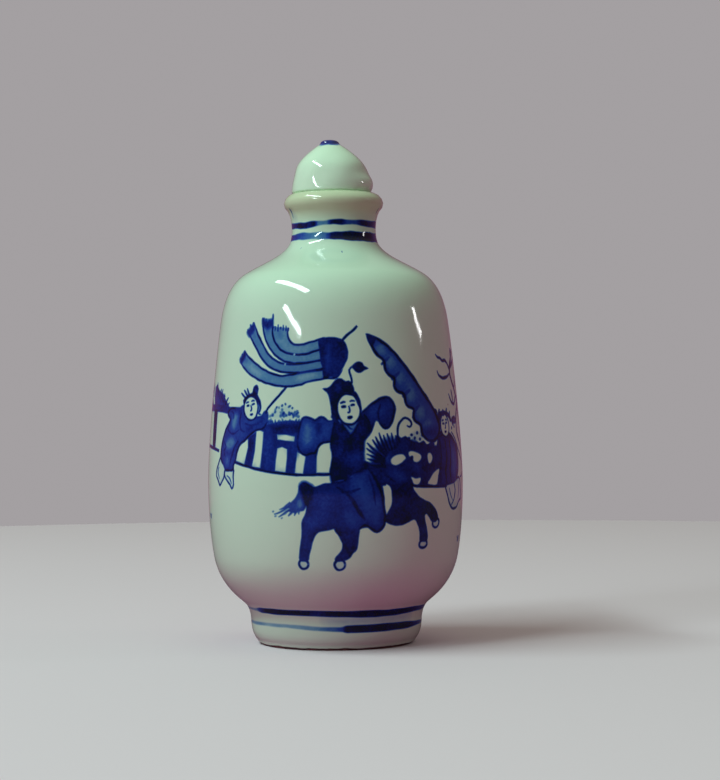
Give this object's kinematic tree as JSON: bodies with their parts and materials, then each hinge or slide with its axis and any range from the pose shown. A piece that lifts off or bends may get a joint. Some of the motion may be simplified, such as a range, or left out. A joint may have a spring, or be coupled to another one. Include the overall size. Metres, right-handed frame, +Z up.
{
  "type": "snuff bottle",
  "caption": "Round porcelain snuff bottle with a narrow neck, rolled lip and foot ring, painted in underglaze blue, closed by a domed lift-off stopper.",
  "frame": {"origin": "centre of the foot's underside, on the surface that the bottle stands on", "axes": "+Z up along the bottle's axis, -Y towards the painted front, +X to the viewer's right"},
  "size_m": [0.0396, 0.0396, 0.078],
  "materials": {
    "bottle_glaze": "pale green-white gloss glaze over porcelain, with underglaze blue painting",
    "stopper_glaze": "pale green-white gloss glaze over porcelain, with a blue tip"
  },
  "bodies": {
    "root": {"bottle": "bottle_glaze", "stopper": "stopper_glaze"}
  },
  "joints": []
}
